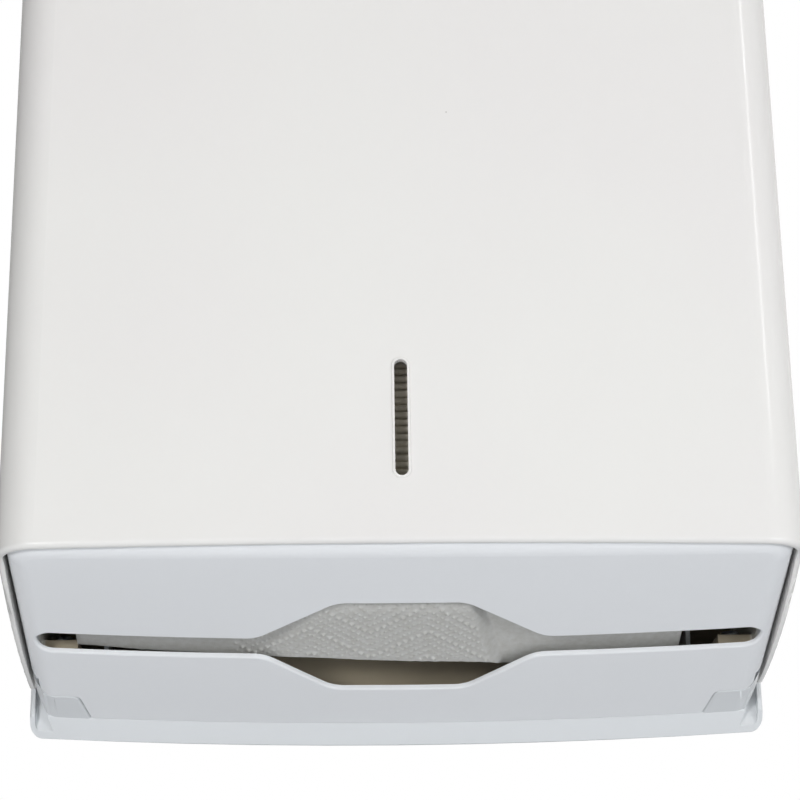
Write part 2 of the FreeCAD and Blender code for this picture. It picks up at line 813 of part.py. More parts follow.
def make_lock_plug():
    high_z = top_z + barrel_flange_height - plug_head_drop
    head_z = high_z - plug_head_height
    head = rod_z(plug_head_radius, 0, lock_y, head_z, high_z)
    body = rod_z(plug_radius, 0, lock_y, barrel_low_z, head_z + hair)
    half = spigot_width / 2
    spigot = box(-half, half, lock_y - half, lock_y + half, cam_low_z, barrel_low_z + hair)
    slot = box(-key_slot_width / 2, key_slot_width / 2, lock_y - key_slot_length / 2,
               lock_y + key_slot_length / 2, high_z - key_slot_depth, high_z + overrun)
    screw_hole = rod_z(cam_screw_radius + screw_hole_clearance, 0, lock_y,
                       cam_low_z - overrun, cam_low_z + cam_screw_length)
    return head.fuse([body, spigot]).cut([slot, screw_hole]).removeSplitter()


def make_lock_cam():
    half = cam_width / 2
    hub = rod_z(cam_hub_radius, 0, lock_y, cam_low_z, cam_high_z)
    arm = box(-half, half, lock_y, lock_y + cam_length, cam_low_z, cam_high_z)
    arm = rounded(arm, half / 2, lambda edge: runs_along(edge, along_z)
                  and edge.CenterOfMass.y > lock_y + half)
    hole_half = spigot_width / 2 + spigot_clearance
    hole = box(-hole_half, hole_half, lock_y - hole_half, lock_y + hole_half,
               cam_low_z - overrun, cam_high_z + overrun)
    return joined(hub, [arm]).cut(hole)


def pan_screw(radius, length, x, y, seat_z, way):
    head = rod_z(screw_head_radius, x, y, seat_z, seat_z + screw_head_height)
    head = rounded(head, screw_head_height / 2, lambda edge:
                   edge.CenterOfMass.z > seat_z + screw_head_height - hair)
    shank = rod_z(radius, x, y, seat_z - length, seat_z + hair)
    half_long = screw_head_radius * screw_recess_share
    half_wide = screw_recess_width / 2
    floor_z = seat_z + screw_head_height - screw_recess_depth
    cross = [box(x - half_long, x + half_long, y - half_wide, y + half_wide,
                 floor_z, floor_z + overrun)]
    cross.append(box(x - half_wide, x + half_wide, y - half_long, y + half_long,
                     floor_z, floor_z + overrun))
    screw = head.fuse(shank).cut(cross).removeSplitter()
    if way < 0:
        screw.rotate(Vec(x, y, seat_z), along_x, math.degrees(math.pi))
    return screw


def make_cam_screw():
    return pan_screw(cam_screw_radius, cam_screw_length - cam_gap, 0, lock_y, cam_low_z, -1)


def make_lock_nut():
    nut_radius = nut_width / math.sqrt(3)
    high_z = top_z - cover_wall - washer_thickness
    corners = []
    for corner in range(6):
        turn = math.pi * corner / 3
        corners.append(Vec(nut_radius * math.cos(turn), lock_y + nut_radius * math.sin(turn),
                           high_z - nut_thickness))
    nut = polygon_face(corners).extrude(Vec(0, 0, nut_thickness))
    return nut.cut(rod_z(barrel_radius + barrel_fit_clearance, 0, lock_y,
                         top_z - cover_depth, top_z))


def make_lock_washer():
    high_z = top_z - cover_wall
    disc = rod_z(washer_radius, 0, lock_y, high_z - washer_thickness, high_z)
    return disc.cut(rod_z(barrel_radius + barrel_fit_clearance, 0, lock_y,
                          high_z - overrun, high_z + overrun))


def make_panel_screws():
    screws = []
    for x, y in screw_places():
        seat_z = screw_seat_z(x, y) + foot_tab_thickness
        screws += [pan_screw(screw_radius, screw_length, side * x, y, seat_z, 1)
                   for side in (-1, 1)]
    return Part.makeCompound(screws)


# The folded towels: the bottom leaf that lies on the panel and shows in the mouth, and the
# stack over it, which lies level behind the mouth
def make_bottom_leaf():
    plan = box(-towel_half, towel_half, towel_front_y, -leaf_edge_depth,
               foot_z - overrun, top_z)
    return under_layer(towel_lift, leaf_thickness).common(plan)


def make_towel_stack():
    plan = box(-towel_half, towel_half, towel_front_y, towel_rear_y,
               towel_level_z, towel_top_z)
    lift = towel_lift + leaf_thickness + towel_seat_gap
    return under_layer(lift, body_height).common(plan)


def make_parts():
    pin = make_hinge_pin()
    parts = {"front_cover": make_front_cover()}
    parts["back_plate"] = make_back_plate()
    parts["mouth_panel"] = make_mouth_panel()
    parts["panel_screws"] = make_panel_screws()
    parts["hinge_pin_right"] = pin
    parts["hinge_pin_left"] = mirrored(pin)
    parts["lock_barrel"] = make_lock_barrel()
    parts["lock_plug"] = make_lock_plug()
    parts["lock_cam"] = make_lock_cam()
    parts["cam_screw"] = make_cam_screw()
    parts["lock_nut"] = make_lock_nut()
    parts["lock_washer"] = make_lock_washer()
    parts["bottom_leaf"] = make_bottom_leaf()
    parts["towel_stack"] = make_towel_stack()
    return parts


os.makedirs("parts", exist_ok=True)
for name, shape in make_parts().items():
    shape.exportStep("parts/" + name + ".step")
    print(name, len(shape.Solids), "solids", round(shape.Volume), "mm3", shape.isValid())
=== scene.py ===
import math
import random

import bmesh
import bpy
from mathutils import Matrix, Vector, noise


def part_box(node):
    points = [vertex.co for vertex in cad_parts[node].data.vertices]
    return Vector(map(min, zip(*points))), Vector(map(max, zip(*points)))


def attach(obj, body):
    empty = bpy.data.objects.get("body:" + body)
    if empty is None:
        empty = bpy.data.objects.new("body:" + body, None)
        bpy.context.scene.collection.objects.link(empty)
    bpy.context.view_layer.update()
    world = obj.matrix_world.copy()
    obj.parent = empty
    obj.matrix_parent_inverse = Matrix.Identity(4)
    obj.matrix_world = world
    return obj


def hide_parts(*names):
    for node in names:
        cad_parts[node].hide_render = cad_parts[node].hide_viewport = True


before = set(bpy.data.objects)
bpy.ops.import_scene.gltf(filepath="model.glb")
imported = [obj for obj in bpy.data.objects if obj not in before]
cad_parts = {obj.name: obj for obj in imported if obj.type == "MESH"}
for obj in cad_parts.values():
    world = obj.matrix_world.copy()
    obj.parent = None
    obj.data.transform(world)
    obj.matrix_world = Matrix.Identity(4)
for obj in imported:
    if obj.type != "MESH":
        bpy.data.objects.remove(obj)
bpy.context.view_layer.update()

MM = 0.001

# The boxes of the CAD model's towels in millimetres, read from its nodes
leaf_low, _ = (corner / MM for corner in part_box("bottom_leaf"))
stack_low, stack_high = (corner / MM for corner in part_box("towel_stack"))

# The underside of the housing in millimetres, as the CAD model has it: it rises from the wall
# to the front, sags along the slope and is crowned across the width
FOOT_Z = -140.0
COVER_DEPTH = 117.0
HALF_WIDTH = 135.0
UNDER_WALL_HEIGHT = 5.0
UNDER_FRONT_HEIGHT = 45.4
UNDER_SAG = 0.75
UNDER_CROWN = 4.0


def under_z(x, y):
    """The height of the underside at a place, in millimetres."""
    forward = -y / COVER_DEPTH
    rise = (UNDER_FRONT_HEIGHT - UNDER_WALL_HEIGHT) * forward
    sag = 4 * UNDER_SAG * forward * (1 - forward)
    crown = UNDER_CROWN * (1 - (x / HALF_WIDTH) ** 2)
    return FOOT_Z + UNDER_WALL_HEIGHT + rise - sag - crown


# Colours and nodes
def linear(hex_colour):
    """An sRGB colour as the linear one that a shader's socket holds."""
    channels = [int(hex_colour[i:i + 2], 16) / 255 for i in (0, 2, 4)]
    return tuple(c / 12.92 if c <= 0.04045 else ((c + 0.055) / 1.055) ** 2.4
                 for c in channels) + (1.0,)


def add(tree, kind, values=(), links=(), **settings):
    """A node with its settings, the values of its sockets and what its sockets are linked to."""
    made = tree.nodes.new("ShaderNode" + kind)
    for name, value in settings.items():
        setattr(made, name, value)
    for key, value in values:
        made.inputs[key].default_value = value
    for key, source in links:
        tree.links.new(source, made.inputs[key])
    return made


def new_material(name):
    """A material with its node tree, its shader and the place on the object in metres."""
    made = bpy.data.materials.new(name)
    made.use_nodes = True
    tree = made.node_tree
    tree.nodes.clear()
    shader = add(tree, "BsdfPrincipled")
    output = add(tree, "OutputMaterial")
    tree.links.new(shader.outputs["BSDF"], output.inputs["Surface"])
    place = add(tree, "TexCoord").outputs["Object"]
    return made, tree, shader, place


def per_mm(millimetres):
    """The scale of a noise or Voronoi texture whose features are this long."""
    return 1 / (millimetres * MM)


# The sockets of a Mix node that mixes colours
MIX_FIRST, MIX_SECOND, MIX_RESULT = 6, 7, 2


def two_tones(tree, factor, first, second):
    """Two colours mixed by a factor."""
    mix = add(tree, "Mix", data_type="RGBA", links=[("Factor", factor)],
              values=[(MIX_FIRST, linear(first)), (MIX_SECOND, linear(second))])
    return mix.outputs[MIX_RESULT]


def tint_over(tree, factor, under, tint):
    """One colour laid by a factor over what a socket gives."""
    mix = add(tree, "Mix", data_type="RGBA", links=[("Factor", factor), (MIX_FIRST, under)],
              values=[(MIX_SECOND, linear(tint))])
    return mix.outputs[MIX_RESULT]


def span(tree, source, low_in, high_in, low_out, high_out):
    """A value taken from one range to another, and held at its ends."""
    limits = [("From Min", low_in), ("From Max", high_in), ("To Min", low_out),
              ("To Max", high_out)]
    return add(tree, "MapRange", values=limits, links=[("Value", source)]).outputs[0]


def noise_texture(tree, place, length_mm, detail):
    """A noise texture whose features are this long."""
    return add(tree, "TexNoise", values=[("Scale", per_mm(length_mm)), ("Detail", detail)],
               links=[("Vector", place)])


def cells(tree, place, length_mm, randomness):
    """A Voronoi texture whose cells are this long: the distance from each cell's point."""
    return add(tree, "TexVoronoi", links=[("Vector", place)], values=[
        ("Scale", per_mm(length_mm)), ("Randomness", randomness)]).outputs["Distance"]


def bumped(tree, height, depth_mm, strength=1.0, over=None):
    """A normal raised by a height, and laid over another normal if one is given."""
    links = [("Height", height)]
    if over:
        links.append(("Normal", over))
    return add(tree, "Bump", values=[("Strength", strength), ("Distance", depth_mm * MM)],
               links=links).outputs[0]


# Most of a noise texture's values lie between these two
NOISE_RANGE = (0.3, 0.7)


# Where painted shade lies low inside the base: a brown tint that stands for the shadow inside,
# seen through the mouth. The tint comes in over the first pair of places, and fades out over
# each of the others
SHADE_TINT_FOOT = ((FOOT_Z + 13) * MM, (FOOT_Z + 18) * MM)
SHADE_TINT_TOP = ((FOOT_Z + 42) * MM, (FOOT_Z + 95) * MM)
SHADE_TINT_WALL = (-2.2 * MM, -1.8 * MM)
SHADE_TINT_SIDE = (125 * MM, 127 * MM)


# Acrylonitrile butadiene styrene, injection moulded against a polished tool: a high gloss with
# faint long waves from shrinkage, a fine orange peel, and here and there a speck of dust
ABS_IOR = 1.53
DRIFT_MM = 90
HAZE_MM = 30
HAZE_SHARE = 0.05
WAVE_MM = 28
PEEL_MM = 1.1
PEEL_DEPTH_MM = 0.003
SPECK_SPACING_MM = 34
SPECK_EDGE = (0.006, 0.010)
SPECK_STRENGTH = 0.5
SPECK_COLOUR = "8E8A84"


def moulded_abs(name, clean, tinged, rough, wave_depth, painted_shade_tint=None):
    made, tree, shader, place = new_material(name)
    drift = noise_texture(tree, place, DRIFT_MM, 0.0)
    colour = two_tones(tree, span(tree, drift.outputs[0], *NOISE_RANGE, 0.0, 1.0), clean, tinged)
    specks = cells(tree, place, SPECK_SPACING_MM, 1.0)
    dust = span(tree, specks, *SPECK_EDGE, SPECK_STRENGTH, 0.0)
    colour = tint_over(tree, dust, colour, SPECK_COLOUR)
    # Painted shade: a brown tint laid low inside the base, where the inside lies in shadow
    # behind the mouth
    if painted_shade_tint:
        at = add(tree, "SeparateXYZ", links=[("Vector", place)]).outputs
        sideways = add(tree, "Math", operation="ABSOLUTE", links=[(0, at[0])]).outputs[0]
        share = span(tree, at[2], *SHADE_TINT_FOOT, 0.0, 1.0)
        for source, edges in ((at[2], SHADE_TINT_TOP), (at[1], SHADE_TINT_WALL), (sideways, SHADE_TINT_SIDE)):
            fade = span(tree, source, *edges, 1.0, 0.0)
            share = add(tree, "Math", operation="MULTIPLY",
                        links=[(0, share), (1, fade)]).outputs[0]
        colour = tint_over(tree, share, colour, painted_shade_tint)
    tree.links.new(colour, shader.inputs["Base Color"])
    haze = noise_texture(tree, place, HAZE_MM, 0.0)
    tree.links.new(span(tree, haze.outputs[0], *NOISE_RANGE, rough * (1 - HAZE_SHARE),
                        rough * (1 + HAZE_SHARE)), shader.inputs["Roughness"])
    waves = noise_texture(tree, place, WAVE_MM, 0.0)
    peel = noise_texture(tree, place, PEEL_MM, 1.0)
    long_bump = bumped(tree, waves.outputs[0], wave_depth)
    tree.links.new(bumped(tree, peel.outputs[0], PEEL_DEPTH_MM, over=long_bump),
                   shader.inputs["Normal"])
    shader.inputs["IOR"].default_value = ABS_IOR
    return made


# Steel screws and pressings, barrel plated in zinc: a blue-grey metal, cloudy where crystals
# of the plating lie differently, and duller along the rolled grain
CLOUD_MM = 3.0
CLOUD_RANGE = (0.35, 0.65)
GRAIN_STRETCH = (0.08, 1.0, 1.0)
GRAIN_DEPTH_MM = 0.006
GRAIN_GLOSS, GRAIN_DULL = 0.8, 1.25


def plated_steel(name, bright, dull, rough, grain_mm):
    made, tree, shader, place = new_material(name)
    clouds = noise_texture(tree, place, CLOUD_MM, 3.0)
    tone = two_tones(tree, span(tree, clouds.outputs[0], *CLOUD_RANGE, 0.0, 1.0), bright, dull)
    tree.links.new(tone, shader.inputs["Base Color"])
    stretch = add(tree, "Mapping", values=[("Scale", GRAIN_STRETCH)], links=[("Vector", place)])
    grain = noise_texture(tree, stretch.outputs[0], grain_mm, 2.0)
    tree.links.new(span(tree, grain.outputs[0], *NOISE_RANGE, rough * GRAIN_GLOSS,
                        rough * GRAIN_DULL), shader.inputs["Roughness"])
    tree.links.new(bumped(tree, grain.outputs[0], GRAIN_DEPTH_MM), shader.inputs["Normal"])
    shader.inputs["Metallic"].default_value = 1.0
    return made


# Two-ply tissue of bleached pulp, creped and embossed: matt, with a fine ribbed crepe and the
# clouded look of uneven fibres. The embossed dots are in the mesh
FIBRE_MM = 2.2
CREPE_MM = 0.75
CREPE_DEPTH_MM = 0.06
CREPE_STRENGTH = 0.6
CREPE_UNEVENNESS = 0.35


def embossed_tissue(name, pale, shade):
    made, tree, shader, place = new_material(name)
    fibres = noise_texture(tree, place, FIBRE_MM, 5.0)
    tone = two_tones(tree, span(tree, fibres.outputs[0], *NOISE_RANGE, 0.0, 1.0), pale, shade)
    tree.links.new(tone, shader.inputs["Base Color"])
    crepe = cells(tree, place, CREPE_MM, CREPE_UNEVENNESS)
    tree.links.new(bumped(tree, crepe, CREPE_DEPTH_MM, CREPE_STRENGTH), shader.inputs["Normal"])
    shader.inputs["Roughness"].default_value = 0.95
    shader.inputs["Specular IOR Level"].default_value = 0.2
    return made


# Each with its colours, its roughness, and the depth of its waves or the size of its grain
cover_abs = moulded_abs("gloss_white_abs", "F2F1EE", "F1EFED", 0.15, 0.04)
panel_abs = moulded_abs("satin_white_abs", "F0F2F4", "EFF1F3", 0.22, 0.02)
# The base's last colour is painted shade: a brown tint low inside, where the inside lies in
# shadow
base_abs = moulded_abs("satin_white_abs_base", "E1E4E6", "E0E3E5", 0.24, 0.02, "ADA28D")
zinc_steel = plated_steel("zinc_plated_steel", "C3C6CA", "A7ABB1", 0.30, 0.25)
pin_steel = plated_steel("drawn_stainless_steel", "C9C8C6", "B6B5B3", 0.22, 0.15)
nickel_alloy = plated_steel("nickel_plated_zinc_alloy", "D6D3CC", "C6C3BC", 0.13, 0.5)
# The leaf in the mouth is the stack's paper painted greyer and darker: painted shade of the
# mouth's shadow
leaf_tissue_painted_shade = embossed_tissue("embossed_tissue", "C8C8C5", "BDBCB7")
stack_tissue = embossed_tissue("embossed_tissue_stack", "D6D0C2", "CAC3B2")

for node_name, material in {
        "front_cover": cover_abs, "back_plate": base_abs, "mouth_panel": panel_abs,
        "panel_screws": zinc_steel, "hinge_pin_left": pin_steel, "hinge_pin_right": pin_steel,
        "lock_barrel": nickel_alloy, "lock_plug": nickel_alloy, "lock_cam": zinc_steel,
        "cam_screw": zinc_steel, "lock_nut": zinc_steel, "lock_washer": zinc_steel}.items():
    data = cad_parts[node_name].data
    data.materials.clear()
    data.materials.append(material)


def finished(name, mesh, material, body, *replaced):
    """A piece of the visual model, which rides on a body and stands for CAD nodes."""
    piece = bpy.data.objects.new(name, mesh)
    bpy.context.scene.collection.objects.link(piece)
    mesh.materials.append(material)
    for polygon in mesh.polygons:
        polygon.use_smooth = True
    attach(piece, body)
    if replaced:
        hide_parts(*replaced)
    return piece


# Folded towels. Each is one sheet folded in three, like a letter: the front flap lies lowest,
# the rear flap over it, and the middle leaf on top
TOWEL_WIDTH = 213.0
TOWEL_LENGTH = 240.0
TOWEL_CENTRE_X = -7.0
PAPER_MM = 0.22


# The lattice of embossed dots: nested zigzag lines of large dots, with lines of small ones
# between them. Each kind of dot has its step along the line, its radius and its height
ZIGZAG_MM = 41.0
ZIGZAG_RISE_MM = 19.0
LINE_MM = 17.0
LARGE_DOT = (3.0, 0.90, 0.85)
SMALL_DOT = (2.2, 0.60, 0.55)
SMALL_LINES = (0.26, 0.5, 0.74)
ZIGZAG_TIP_X = -3.5
LINE_SHIFT_MM = -4.0


def zigzag(x):
    """How far a line of dots runs back at this x."""
    turn = ((x - ZIGZAG_TIP_X) / ZIGZAG_MM) % 1.0
    return ZIGZAG_RISE_MM * abs(2 * turn - 1)


def dot_lines():
    """The large line and the small lines of one repeat, with their offsets."""
    yield LINE_SHIFT_MM, LARGE_DOT
    for share in SMALL_LINES:
        yield LINE_SHIFT_MM + share * LINE_MM, SMALL_DOT


def dots(x_low, x_high, y_low, y_high):
    """The embossed dots in a part of the sheet, each with its radius and height."""
    slope = 2 * ZIGZAG_RISE_MM / ZIGZAG_MM
    for offset, (step, radius, height) in dot_lines():
        run = step / math.hypot(1, slope)
        first = math.floor((y_low - ZIGZAG_RISE_MM - offset) / LINE_MM)
        last = math.ceil((y_high - offset) / LINE_MM)
        for line in range(first, last + 1):
            count = int((x_high - x_low) / run) + 1
            for i in range(count):
                x = x_low + (i + 0.5 * (line % 2)) * run
                y = line * LINE_MM + offset + zigzag(x)
                if y_low < y < y_high:
                    yield x, y, radius, height


def spaced(stops):
    """Stations that run through the stops, each (end, step), from the first stop's end."""
    stations = [stops[0][0]]
    for end, step in stops[1:]:
        start = stations[-1]
        count = max(1, round(abs(end - start) / step))
        stations += [start + (end - start) * (i + 1) / count for i in range(count)]
    return stations


def sheet_mesh(name, columns, path, place):
    """A grid of columns by path stations, put in space by place(column, station)."""
    mesh = bmesh.new()
    rows = [[mesh.verts.new(Vector(place(x, s)) * MM) for x in columns] for s in path]
    for near, far in zip(rows, rows[1:]):
        for i in range(len(columns) - 1):
            mesh.faces.new((near[i], near[i + 1], far[i + 1], far[i]))
    data = bpy.data.meshes.new(name)
    bmesh.ops.recalc_face_normals(mesh, faces=mesh.faces)
    mesh.to_mesh(data)
    mesh.free()
    return data


def smooth(low_end, high_end, value):
    """0 below the low end, 1 above the high end, and an even S between them."""
    share = min(1.0, max(0.0, (value - low_end) / (high_end - low_end)))
    return share * share * (3 - 2 * share)


def ripple(x, y, length, breadth, layer):
    """A soft unevenness between about -1 and 1, with waves of this length and breadth."""
    return noise.noise(Vector((x / length, y / breadth, layer)))


# The bottom of the stack slopes with the panel in front and lies level on the ribs behind
STACK_LIFT = 6.9
LEVEL_Z = FOOT_Z + 33.3
LEVEL_BLEND_MM = 2.0


def stack_floor(x, y):
    """The height of the stack's bottom at a place."""
    slope = under_z(x, y) + STACK_LIFT
    apart = slope - LEVEL_Z
    return LEVEL_Z + (apart + math.hypot(apart, LEVEL_BLEND_MM)) / 2


def letter_fold(front_y, rear_y, edge_y, bend):
    """A sheet folded like a letter: what each place along it does, and its stretches' ends."""
    flap = edge_y - front_y
    front_arc = math.pi * bend
    middle = rear_y - front_y
    rear_arc = math.pi * bend / 2
    ends = [flap, flap + front_arc, flap + front_arc + middle,
            flap + front_arc + middle + rear_arc]

    def at(s):
        """The stretch that a place along the sheet is in, its share of it, and its y."""
        if s < ends[0]:
            return "flap", s / flap, front_y
        if s < ends[1]:
            return "front", (s - ends[0]) / front_arc, front_y
        if s < ends[2]:
            return "middle", 1.0, front_y + s - ends[1]
        if s < ends[3]:
            return "rear", (s - ends[2]) / rear_arc, rear_y
        return "back", 1.0, rear_y - (s - ends[3])
    return at, ends


def thicken(piece, thickness):
    solid = piece.modifiers.new("paper", "SOLIDIFY")
    solid.thickness = thickness * MM
    solid.offset = 0.0


# The towel that shows in the mouth. Its front flap hangs free of the stack: it lies on the
# panel's ribs at both sides and sags into the mouth between them, up to a crease at the right
EDGE_Y = -38.6
EDGE_SLOPE = 0.062
EDGE_NIBBLE_MM = 0.18
EDGE_NIBBLE_STEP = 2.3
EDGE_NIBBLE_LAYER = 7.0
LEAF_REAR_Y = -11.0
FLOOR_LIFT = 5.75
SAG_MM = 4.15
SAG_EDGE_SHIFT = 7.4
SAG_EDGE_ROUNDS = 6
LEAF_BEND = 0.85
LEAF_GAP = 0.6
LEAF_RIPPLE_MM = 0.30
LEAF_RIPPLE = (19, 27, 4.2)
CRINKLE_MM = 0.05
CRINKLE = (3.0, 3.0, 1.0)
LEFT_SAG = (-54.0, -28.0)
FRONT_SAG = (-90.0, -74.0)
CREASE_X, CREASE_Y, CREASE_SLANT = 26.3, -70.8, 0.266
CREASE_WIDTH = (-1.5, 3.0)

# The leaf's mesh is fine only where it shows: each stop is a place and the step up to it
LEAF_COLUMNS = ((-52, 2.0), (64, 0.34))
LEAF_SIDE_STEP = 2.0
LEAF_FINE_FLAP = (46, 0.34)
LEAF_STEPS = (2.0, 0.3, 3.0, 0.25, 4.0)

# Where the leaf is embossed: its dots fade at both sides, at the free edge and at the crease
EMBOSSED_PART = (-56, 68, -50, 4)
EMBOSS_LEFT = (-54.0, -48.0)
EMBOSS_RIGHT = (58.0, 66.0)
EMBOSS_EDGE = (0.3, 2.4)
EMBOSS_CREASE = (-2.0, 0.5)
DOT_CELL_MM = 3.0
DOT_REACH_MM = 2
DOT_REACH_RADII = 1.6
DOT_FALL = 1.9


def crease_x(y):
    return CREASE_X + CREASE_SLANT * (y - CREASE_Y)


def sag_share(x, y):
    """The share of the full sag at a place."""
    past = x - crease_x(y)
    across = smooth(*LEFT_SAG, x) * (1 - smooth(*CREASE_WIDTH, past))
    return across * smooth(*FRONT_SAG, y)


def leaf_z(x, y):
    uneven = LEAF_RIPPLE_MM * ripple(x, y, *LEAF_RIPPLE)
    return under_z(x, y) + FLOOR_LIFT - SAG_MM * sag_share(x, y) + uneven


def embossing():
    """The height of the embossing at a place x, s of the leaf, as a function."""
    near = {}

    def cell(value):
        return int(value // DOT_CELL_MM)

    for dot in dots(*EMBOSSED_PART):
        for i in range(cell(dot[0] - DOT_REACH_MM), cell(dot[0] + DOT_REACH_MM) + 1):
            for j in range(cell(dot[1] - DOT_REACH_MM), cell(dot[1] + DOT_REACH_MM) + 1):
                near.setdefault((i, j), []).append(dot)

    def height(x, s):
        total = 0.0
        for dot_x, dot_y, radius, full in near.get((cell(x), cell(-s)), ()):
            off = math.hypot(x - dot_x, -s - dot_y) / radius
            if off < DOT_REACH_RADII:
                total = max(total, full * math.exp(-DOT_FALL * off * off))
        return total * smooth(*EMBOSS_LEFT, x) * (1 - smooth(*EMBOSS_RIGHT, x))
    return height


def free_edge_y(x, out_x):
    """The y of the leaf's free edge, which is drawn forward where the leaf sags."""
    flat = EDGE_Y + EDGE_SLOPE * out_x
    edge_y = flat
    for _ in range(SAG_EDGE_ROUNDS):
        edge_y = flat - SAG_EDGE_SHIFT * sag_share(out_x, edge_y)
    along_edge = Vector((x / EDGE_NIBBLE_STEP, EDGE_NIBBLE_LAYER, 0.0))
    return edge_y + EDGE_NIBBLE_MM * noise.noise(along_edge)


def bottom_towel():
    front_y = leaf_low.y + LEAF_BEND
    at, ends = letter_fold(front_y, LEAF_REAR_Y, EDGE_Y, LEAF_BEND)
    half = TOWEL_WIDTH / 2
    columns = spaced([(-half, 0), *LEAF_COLUMNS, (half, LEAF_SIDE_STEP)])
    path = spaced([(0, 0), LEAF_FINE_FLAP, *zip((*ends, TOWEL_LENGTH), LEAF_STEPS)])
    emboss = embossing()

    def place(x, s):
        out_x = x + TOWEL_CENTRE_X
        kind, share, y = at(s)
        if kind == "flap":
            edge_y = free_edge_y(x, out_x)
            y = edge_y + share * (front_y - edge_y)
            crinkle = CRINKLE_MM * ripple(x, s, *CRINKLE)
            pressed = smooth(*EMBOSS_EDGE, s) * (1 - smooth(*EMBOSS_CREASE, out_x - crease_x(y)))
            return out_x, y, leaf_z(out_x, y) - pressed * emboss(x, s) + crinkle
        low = leaf_z(out_x, y)
        high = stack_floor(out_x, y) + LEAF_GAP
        turn = math.pi * share
        if kind == "front":
            out = LEAF_BEND * math.sin(turn)
            return out_x, y - out, low + (high - low) * (1 - math.cos(turn)) / 2
        if kind == "middle":
            return out_x, y, high
        if kind == "rear":
            drop = LEAF_GAP * (1 - math.cos(turn)) / 2
            return out_x, y + LEAF_GAP / 2 * math.sin(turn), high - drop
        return out_x, y, stack_floor(out_x, y)

    mesh = sheet_mesh("bottom_towel", columns, path, place)
    piece = finished("bottom_towel", mesh, leaf_tissue_painted_shade, "base", "bottom_leaf")
    thicken(piece, PAPER_MM)


# The rest of the stack: one folded towel on another. Low towels follow the stack's sloping
# floor, and higher ones lie more and more level
STACK_GAP = 0.95
STACK_FLAP_Y = -54.0
STACK_FLAP_SHIFT = 3
STACK_FRONT_ROOM = 0.4
STACK_REAR_ROOM = 1.4
STACK_REAR_SHIFT = 0.4
STACK_COLUMN_STEP = 11.0
STACK_STEPS = (6.0, 0.5, 6.0, 0.4, 6.0)
STACK_RIPPLE_MM = 0.22
STACK_RIPPLE = (37, 29)
LAYER_PER_TOWEL = 0.05
FLATTEN_MM = 90.0
FLAT_Z = LEVEL_Z + 3.0


def stacked_towel(number, base_lift, shift_x, shift_y, turn):
    front_y = stack_low.y + STACK_FRONT_ROOM + shift_y + STACK_GAP
    rear_y = stack_high.y - STACK_REAR_ROOM + shift_y * STACK_REAR_SHIFT - STACK_GAP / 2
    flap_y = STACK_FLAP_Y + STACK_FLAP_SHIFT * shift_y
    at, ends = letter_fold(front_y, rear_y, flap_y, STACK_GAP)
    half = TOWEL_WIDTH / 2
    columns = spaced([(-half, 0), (half, STACK_COLUMN_STEP)])
    path = spaced([(0, 0), *zip((*ends, TOWEL_LENGTH), STACK_STEPS)])

    def place(x, s):
        kind, share, y = at(s)
        bend = math.pi * share
        rise = 0.0
        if kind == "flap":
            y = flap_y + share * (front_y - flap_y)
        elif kind == "front":
            y -= STACK_GAP * math.sin(bend)
            rise = STACK_GAP * (1 - math.cos(bend))
        elif kind == "middle":
            rise = 2 * STACK_GAP
        elif kind == "rear":
            y += STACK_GAP / 2 * math.sin(bend)
            rise = 2 * STACK_GAP - STACK_GAP / 2 * (1 - math.cos(bend))
        else:
            rise = STACK_GAP
        out_x = x + TOWEL_CENTRE_X + shift_x + turn * y
        out_y = y + turn * x
        level = min(1.0, base_lift / FLATTEN_MM)
        floor_z = stack_floor(out_x, out_y) * (1 - level) + FLAT_Z * level
        uneven = STACK_RIPPLE_MM * ripple(x, y, *STACK_RIPPLE, number * LAYER_PER_TOWEL)
        return out_x, out_y, floor_z + base_lift + rise + uneven

    name = "stacked_towel_%02d" % number
    piece = finished(name, sheet_mesh(name, columns, path, place), stack_tissue, "base",
                     "towel_stack")
    thicken(piece, PAPER_MM)
    return name


# How far a towel of the stack can be off its place, and how much air it has above it
FIRST_LIFT = 1.4
TOP_ROOM = 0.6
SIDE_SLIP = (-0.9, 0.9)
BACK_SLIP = (0.0, 0.8)
SKEW = (-0.004, 0.004)
AIR = (0.45, 1.2)


def towel_stack():
    draw = random.Random(7)
    lift = FIRST_LIFT
    top = stack_high.z - FLAT_Z
    last = "bottom_towel"
    number = 0
    while lift + 2 * STACK_GAP + TOP_ROOM < top:
        number += 1
        last = stacked_towel(number, lift, draw.uniform(*SIDE_SLIP), draw.uniform(*BACK_SLIP),
                             draw.uniform(*SKEW))
        lift += 2 * STACK_GAP + draw.uniform(*AIR)


bottom_towel()
towel_stack()


# Studio: a pale floor under the object, and a white sweep all round. Lengths are in metres
FLOOR_COLOUR = "EEF1F6"
FLOOR_Z = -0.42
FLOOR_HALF = 6.0
ROOM_COLOUR = "2E2824"
SWEEP_COLOUR = "FFFEFC"
SWEEP_STRENGTH = 0.46
OVERHEAD_STRENGTH = 1.05
BEHIND_STRENGTH = 0.45

# Between which parts of a direction the room's light goes over from left to right, from level
# to overhead, and from in front to behind the object
SIDEWAYS_SPAN = (-0.9, 0.75)
OVERHEAD_SPAN = (0.6, 0.9)
BEHIND_SPAN = (0.15, 0.7)

# Each light has its power in watts, its width and height, its place, what it is turned to, and
# its colour
LIGHTS = {
    "front_softbox": (2.5, 2.6, 2.2, (0.7, -2.6, 0.55), (0, 0, 0), "FFFDFA"),
    "low_left_box": (7.0, 0.22, 0.22, (-0.62, -1.40, -0.22), (0, -0.06, -0.12), "FFFFFF"),
    "low_right_box": (5.2, 0.6, 0.3, (0.95, -1.0, -0.34), (0.05, -0.06, -0.12), "FBFDFF"),
    "right_strip": (2.2, 0.07, 1.1, (1.12, -1.25, 1.0), (0, 0, 0.1), "FFFFFF"),
}

